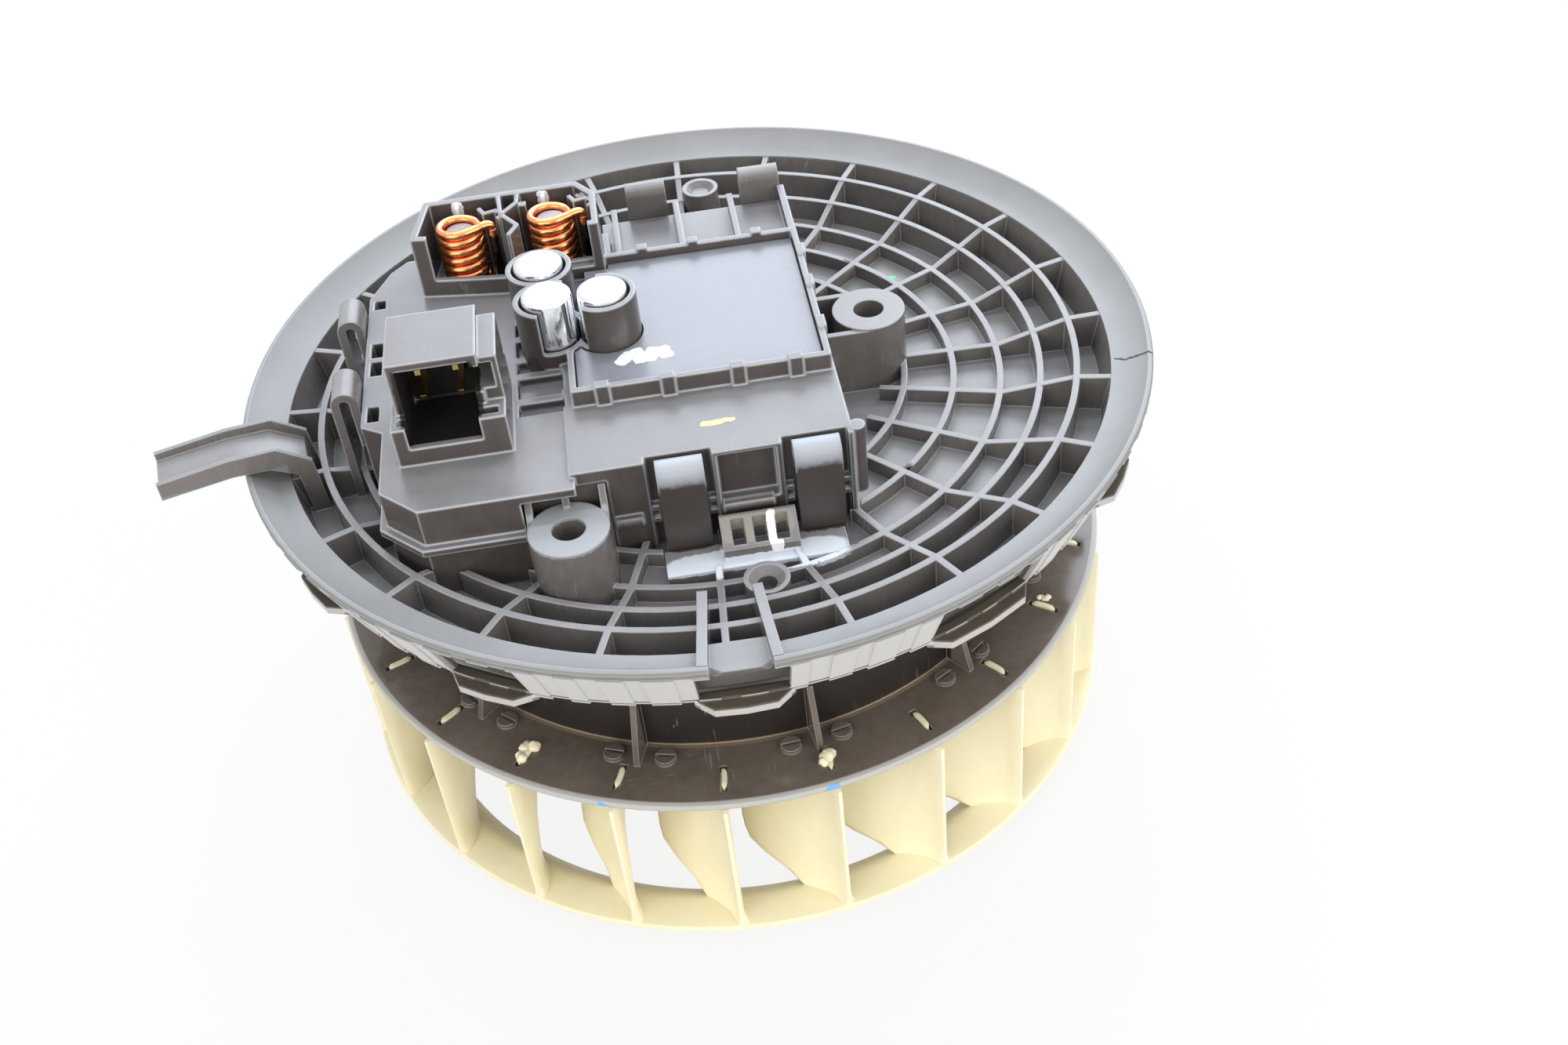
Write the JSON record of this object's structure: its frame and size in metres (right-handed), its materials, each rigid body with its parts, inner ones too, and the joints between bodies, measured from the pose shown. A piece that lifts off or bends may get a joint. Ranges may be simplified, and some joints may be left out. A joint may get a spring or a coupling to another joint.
{
  "type": "blower fan",
  "caption": "Cabin blower fan: round ribbed carrier flange with a plug-in motor controller on top and a centrifugal wheel on an external rotor motor below.",
  "frame": {"origin": "centre of the flange rim on the fan axis, in the plane of the rim's upper lip", "axes": "+Z along the fan axis, up out of the controller side; -Y towards the open side of the plug socket; +X to its right"},
  "size_m": [0.2162, 0.1999, 0.1274],
  "materials": {
    "flange_plastic": "moulded, satin, lightly dusty",
    "housing_plastic": "moulded, satin",
    "cover_gloss": "polished",
    "board": "solder mask",
    "pin_metal": "plated",
    "copper": "enamelled wire",
    "ferrite": "sintered, dull",
    "can": "satin",
    "sleeve": "shrunk film",
    "epoxy": "moulded",
    "sink": "extruded",
    "steel_screw": "plated",
    "carrier": "cast",
    "grommet": "matt",
    "lamination": "varnished sheet",
    "bearing_steel": "ground",
    "shaft_steel": "ground",
    "spring_steel": "blued",
    "rotor_steel": "zinc plated",
    "magnet": "bonded ferrite",
    "hub_plastic": "moulded, glossy",
    "blade_plastic": "moulded, natural cream"
  },
  "bodies": {
    "carrier": {"carrier_flange": "flange_plastic", "controller_housing": "housing_plastic", "cover_plate": "cover_gloss", "circuit_board": "board", "plug_pins": "pin_metal", "choke_coil_left": "copper", "choke_coil_right": "copper", "choke_core_left": "ferrite", "choke_core_right": "ferrite", "capacitor_left": "can", "capacitor_middle": "can", "capacitor_right": "can", "capacitor_sleeves": "sleeve", "power_transistors": "epoxy", "heat_sink": "sink", "board_screws": "steel_screw", "motor_carrier": "carrier", "rubber_mounts": "grommet", "motor_screws": "steel_screw", "stator_core": "lamination", "stator_windings": "copper", "phase_leads": "copper", "upper_bearing": "bearing_steel", "lower_bearing": "bearing_steel"},
    "wheel": {"motor_shaft": "shaft_steel", "shaft_clip": "spring_steel", "rotor_cup": "rotor_steel", "rotor_magnets": "magnet", "wheel_hub": "hub_plastic", "blade_ring": "blade_plastic"}
  },
  "joints": [
    {"name": "wheel_spin", "type": "hinge", "parent": "carrier", "child": "wheel", "pos_m": [0, 0, -0.06], "axis": [0, 0, 1], "continuous": true}
  ]
}
